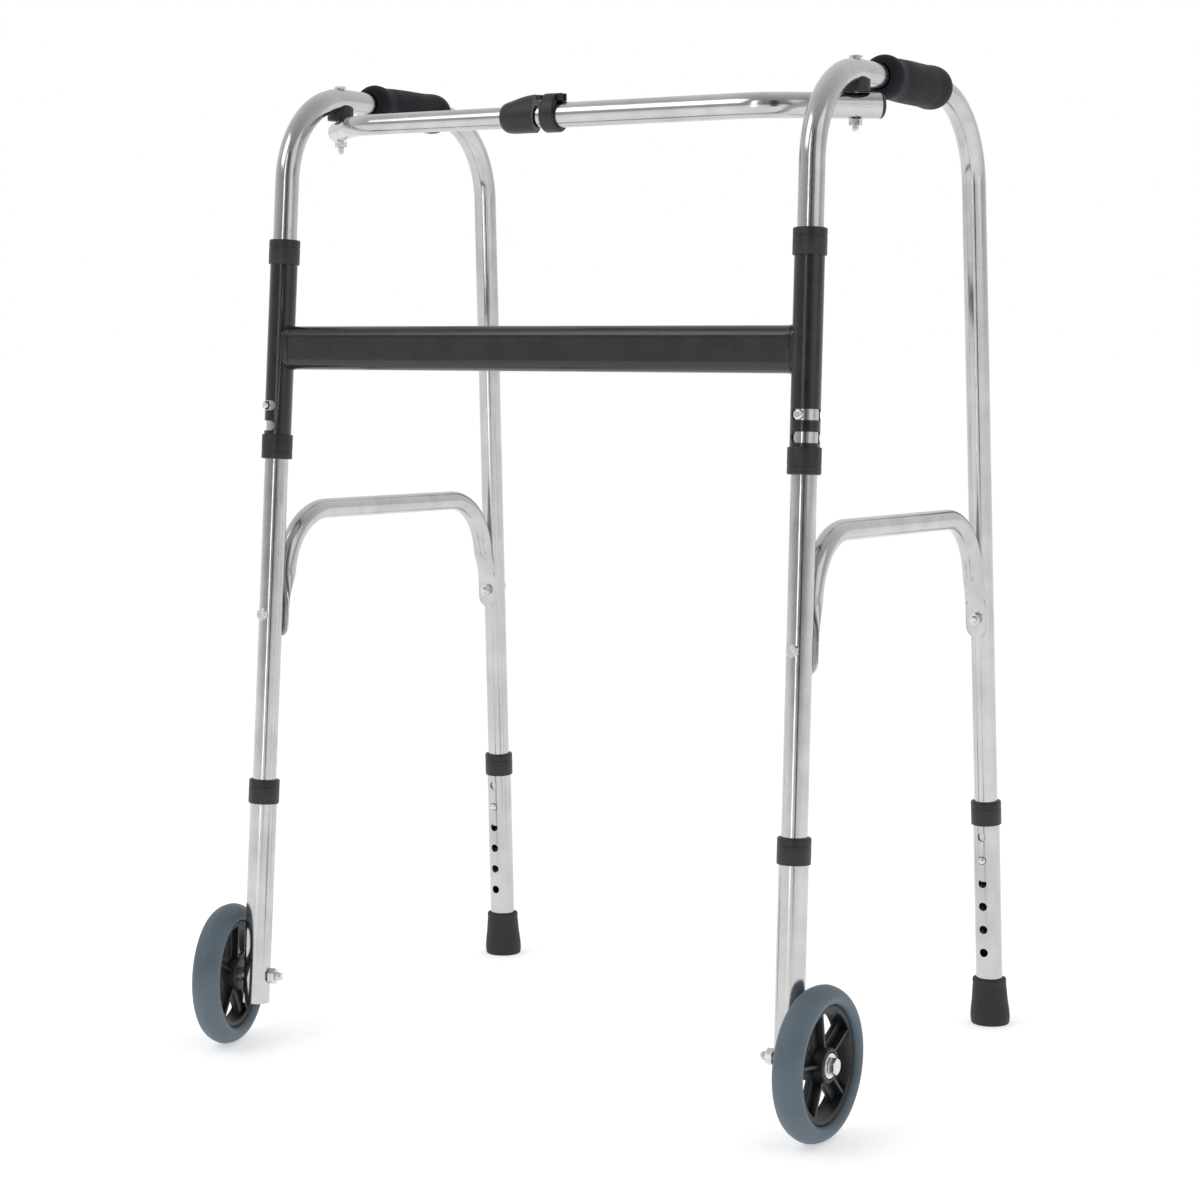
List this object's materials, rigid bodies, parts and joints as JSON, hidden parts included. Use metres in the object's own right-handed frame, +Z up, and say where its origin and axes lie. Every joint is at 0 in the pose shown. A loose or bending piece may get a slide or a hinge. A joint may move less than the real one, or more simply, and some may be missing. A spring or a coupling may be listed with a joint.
{
  "type": "walking frame",
  "caption": "Folding walking frame with two front wheels, rubber rear feet, a clipped top bar, hand grips and height-adjustable legs",
  "frame": {"origin": "On the floor, midway between the left and right legs, under the hand grips' front ends", "axes": "+X is the viewer's right when the object is seen from the front, -Y is the front (wheels and crossbar), +Z is up"},
  "size_m": [0.6675, 0.5185, 0.9132],
  "materials": {
    "polished_tube": "polished",
    "zinc_hardware": "zinc plated",
    "black_paint": "gloss",
    "black_plastic": "semi-matt",
    "tip_rubber": "matt",
    "blue_grey_tyre": "matt",
    "grip_rubber": "semi-matt"
  },
  "bodies": {
    "cross_frame_body": {"cross_frame": "black_paint", "left_upper_collar": "black_plastic", "left_lower_collar": "black_plastic", "right_upper_collar": "black_plastic", "right_lower_collar": "black_plastic"},
    "left_side_frame": {"left_side_tube": "polished_tube", "left_hand_grip": "grip_rubber", "left_brace": "polished_tube", "left_bar_spacer": "black_plastic", "left_brace_front_bolt": "zinc_hardware", "left_brace_front_nut": "zinc_hardware", "left_brace_rear_bolt": "zinc_hardware", "left_brace_rear_nut": "zinc_hardware", "left_sleeve_stud": "zinc_hardware", "left_pivot_bolt": "zinc_hardware", "left_pivot_nut": "zinc_hardware"},
    "left_front_button": {"left_front_snap_button": "zinc_hardware"},
    "left_rear_button": {"left_rear_snap_button": "zinc_hardware"},
    "left_front_leg": {"left_front_extension": "polished_tube", "left_front_extension_collar": "black_plastic", "left_axle_bolt": "zinc_hardware", "left_axle_nut": "zinc_hardware", "left_axle_washer": "zinc_hardware", "left_wheel_bush": "zinc_hardware"},
    "left_wheel": {"left_tyre": "blue_grey_tyre", "left_wheel_hub": "black_plastic"},
    "left_rear_leg": {"left_rear_extension": "polished_tube", "left_rear_extension_collar": "black_plastic", "left_rubber_tip": "tip_rubber"},
    "left_bar": {"left_bar_half": "polished_tube", "left_bar_plug": "black_plastic", "clip_collar": "black_plastic"},
    "right_side_frame": {"right_side_tube": "polished_tube", "right_hand_grip": "grip_rubber", "right_brace": "polished_tube", "right_bar_spacer": "black_plastic", "right_brace_front_bolt": "zinc_hardware", "right_brace_front_nut": "zinc_hardware", "right_brace_rear_bolt": "zinc_hardware", "right_brace_rear_nut": "zinc_hardware", "right_sleeve_stud": "zinc_hardware", "right_pivot_bolt": "zinc_hardware", "right_pivot_nut": "zinc_hardware"},
    "right_front_button": {"right_front_snap_button": "zinc_hardware"},
    "right_rear_button": {"right_rear_snap_button": "zinc_hardware"},
    "right_front_leg": {"right_front_extension": "polished_tube", "right_front_extension_collar": "black_plastic", "right_axle_bolt": "zinc_hardware", "right_axle_nut": "zinc_hardware", "right_axle_washer": "zinc_hardware", "right_wheel_bush": "zinc_hardware"},
    "right_wheel": {"right_tyre": "blue_grey_tyre", "right_wheel_hub": "black_plastic"},
    "right_rear_leg": {"right_rear_extension": "polished_tube", "right_rear_extension_collar": "black_plastic", "right_rubber_tip": "tip_rubber"},
    "right_bar": {"right_bar_half": "polished_tube", "right_bar_plug": "black_plastic", "clip_band": "black_plastic"},
    "clip_lever_body": {"clip_lever": "black_plastic"}
  },
  "joints": [
    {"name": "left_fold", "type": "hinge", "parent": "cross_frame_body", "child": "left_side_frame", "pos_m": [-0.27628, -0.17902, 0.66], "axis": [-0.012, -0.0734, -0.9972], "range_deg": [0, 62]},
    {"name": "left_bar_swing", "type": "hinge", "parent": "left_side_frame", "child": "left_bar", "pos_m": [-0.27348, -0.084, 0.866], "axis": [0, 0, 1], "range_deg": [0, 62]},
    {"name": "left_front_leg_slide", "type": "slide", "parent": "left_side_frame", "child": "left_front_leg", "axis": [0.012, 0.0734, 0.9972], "range_m": [-0.0229, 0.0916]},
    {"name": "left_front_button_press", "type": "slide", "parent": "left_side_frame", "child": "left_front_button", "axis": [0, -0.9973, 0.0734], "range_m": [0, 0.0045], "deforming": ["left_front_snap_button"]},
    {"name": "left_rear_leg_slide", "type": "slide", "parent": "left_side_frame", "child": "left_rear_leg", "axis": [0.012, -0.047, 0.9988], "range_m": [-0.0229, 0.0916]},
    {"name": "left_rear_button_press", "type": "slide", "parent": "left_side_frame", "child": "left_rear_button", "axis": [0, 0.9989, 0.047], "range_m": [0, 0.0045], "deforming": ["left_rear_snap_button"]},
    {"name": "left_wheel_spin", "type": "hinge", "parent": "left_front_leg", "child": "left_wheel", "pos_m": [-0.31032, -0.23042, 0.0665], "axis": [0.9613, 0.2756, 0], "continuous": true},
    {"name": "right_fold", "type": "hinge", "parent": "cross_frame_body", "child": "right_side_frame", "pos_m": [0.27628, -0.17902, 0.66], "axis": [-0.012, 0.0734, 0.9972], "range_deg": [0, 80]},
    {"name": "right_bar_swing", "type": "hinge", "parent": "right_side_frame", "child": "right_bar", "pos_m": [0.27348, -0.084, 0.866], "axis": [0, 0, -1], "range_deg": [0, 72]},
    {"name": "right_front_leg_slide", "type": "slide", "parent": "right_side_frame", "child": "right_front_leg", "axis": [-0.012, 0.0734, 0.9972], "range_m": [-0.0229, 0.0916]},
    {"name": "right_front_button_press", "type": "slide", "parent": "right_side_frame", "child": "right_front_button", "axis": [0, -0.9973, 0.0734], "range_m": [0, 0.0045], "deforming": ["right_front_snap_button"]},
    {"name": "right_rear_leg_slide", "type": "slide", "parent": "right_side_frame", "child": "right_rear_leg", "axis": [-0.012, -0.047, 0.9988], "range_m": [-0.0229, 0.0916]},
    {"name": "right_rear_button_press", "type": "slide", "parent": "right_side_frame", "child": "right_rear_button", "axis": [0, 0.9989, 0.047], "range_m": [0, 0.0045], "deforming": ["right_rear_snap_button"]},
    {"name": "right_wheel_spin", "type": "hinge", "parent": "right_front_leg", "child": "right_wheel", "pos_m": [0.3114, -0.22271, 0.0665], "axis": [1, 0, 0], "continuous": true},
    {"name": "clip_lever_lift", "type": "hinge", "parent": "right_bar", "child": "clip_lever_body", "pos_m": [0, -0.14, 0.8815], "axis": [0, -1, 0], "range_deg": [0, 14]}
  ]
}
